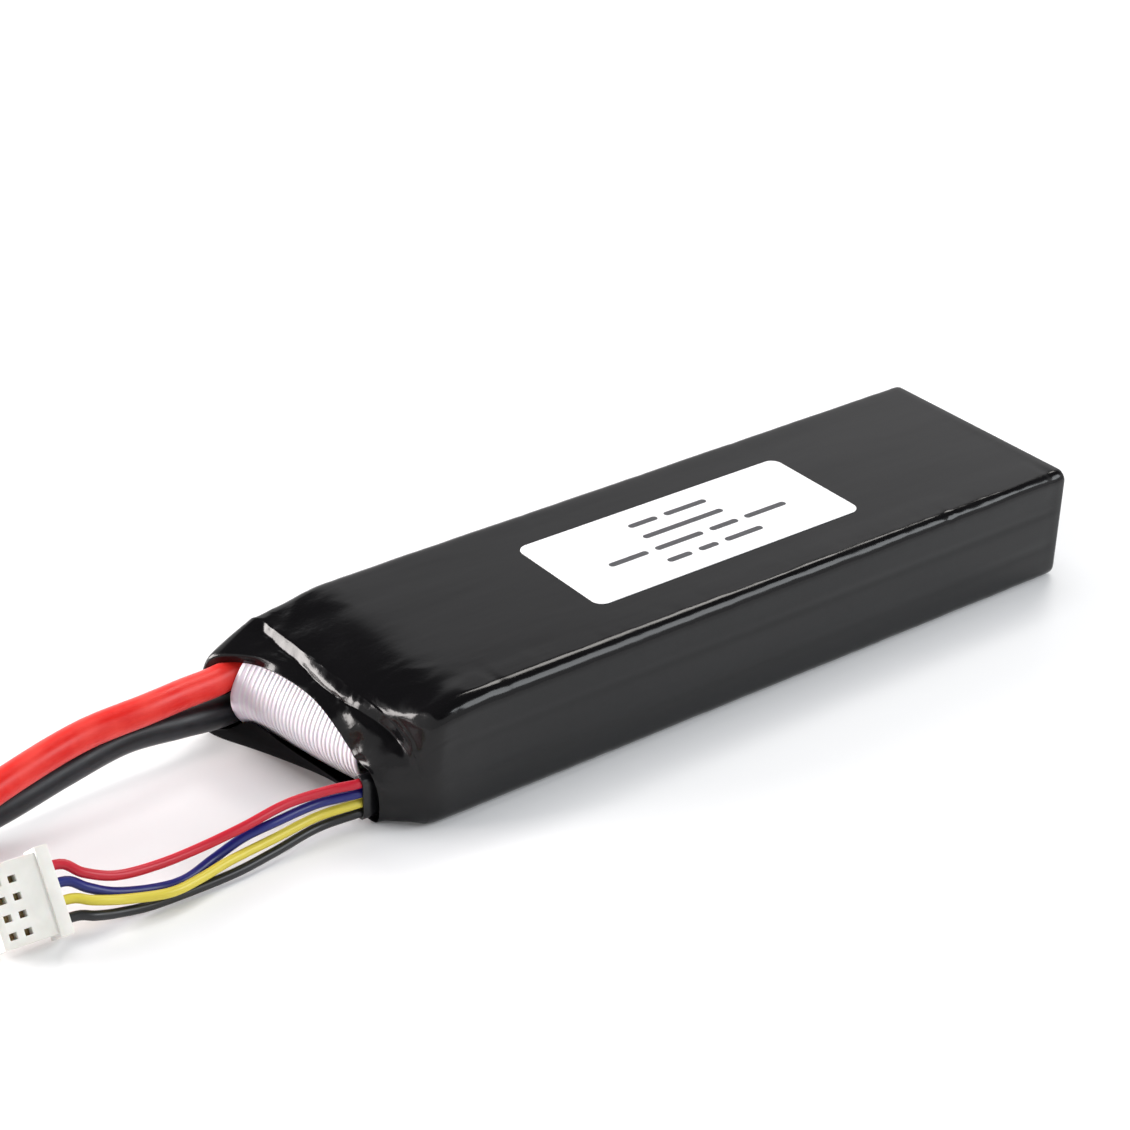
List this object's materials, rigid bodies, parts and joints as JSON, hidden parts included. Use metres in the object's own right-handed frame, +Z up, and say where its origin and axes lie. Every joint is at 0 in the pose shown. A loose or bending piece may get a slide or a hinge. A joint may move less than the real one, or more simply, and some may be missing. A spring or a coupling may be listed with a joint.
{
  "type": "lithium polymer battery pack",
  "caption": "Slab battery pack for a flying model: stacked pouch cells in a black shrink sleeve with a hooded end, main leads to a yellow power plug and a balance lead.",
  "frame": {"origin": "middle of the pack's underside, on the surface it lies on, without its leads and plugs", "axes": "+X towards the plain end (the leads leave at -X), +Y across the pack towards the main leads, +Z up"},
  "size_m": [0.2645, 0.0434, 0.021],
  "materials": {
    "shrink_pvc": "black heat-shrink film, satin gloss, fine wrinkles and a few creases",
    "label_paper": "white paper label, matte",
    "pouch_foil": "satin laminated foil",
    "adhesive": "thin double-sided adhesive sheet",
    "tab_aluminium": "plain rolled strip",
    "tab_nickel": "nickel-plated strip",
    "seal_film": "translucent sealing film",
    "board_fr4": "green solder mask",
    "copper": "bare copper lands",
    "solder": "bright solder",
    "card": "pale insulating card",
    "filament_tape": "white ribbed glass-filament tape, slightly shiny",
    "band_tape": "amber polyimide tape",
    "pad_foam": "thin black foam pad",
    "silicone_red": "red silicone lead, satin",
    "silicone_black": "black silicone lead, satin",
    "copper_strand": "tinned fine copper strands",
    "wire_red": "red insulation, satin",
    "wire_blue": "dark blue insulation, satin",
    "wire_yellow": "yellow insulation, satin",
    "wire_black": "black insulation, satin",
    "plug_nylon": "ivory white nylon",
    "terminal_brass": "crimp terminals",
    "housing_yellow": "yellow moulded nylon",
    "contact_gold": "gold-plated contacts",
    "shrink_red": "red heat-shrink tube",
    "shrink_black": "black heat-shrink tube, satin gloss"
  },
  "bodies": {
    "root": {"heat_shrink_wrap": "shrink_pvc", "label": "label_paper", "cell_bottom": "pouch_foil", "cell_middle": "pouch_foil", "cell_top": "pouch_foil", "sheet_lower": "adhesive", "sheet_upper": "adhesive", "tab_positive_bottom": "tab_aluminium", "tab_positive_middle": "tab_aluminium", "tab_positive_top": "tab_aluminium", "tab_negative_bottom": "tab_nickel", "tab_negative_middle": "tab_nickel", "tab_negative_top": "tab_nickel", "tab_seals": "seal_film", "tab_board": "board_fr4", "board_copper": "copper", "solder_joints": "solder", "insulating_card": "card", "end_tape": "filament_tape", "binding_band_front": "band_tape", "binding_band_rear": "band_tape", "rear_pad": "pad_foam", "lead_core_red": "copper_strand", "lead_core_black": "copper_strand", "main_lead_red": "silicone_red", "main_lead_black": "silicone_black", "balance_sleeve": "shrink_black", "balance_wire_red": "wire_red", "balance_wire_blue": "wire_blue", "balance_wire_yellow": "wire_yellow", "balance_wire_black": "wire_black", "balance_plug": "plug_nylon", "balance_terminals": "terminal_brass", "power_plug": "housing_yellow", "power_plug_cap": "housing_yellow", "contact_positive": "contact_gold", "contact_negative": "contact_gold", "cup_sleeve_red": "shrink_red", "cup_sleeve_black": "shrink_black"}
  },
  "joints": []
}
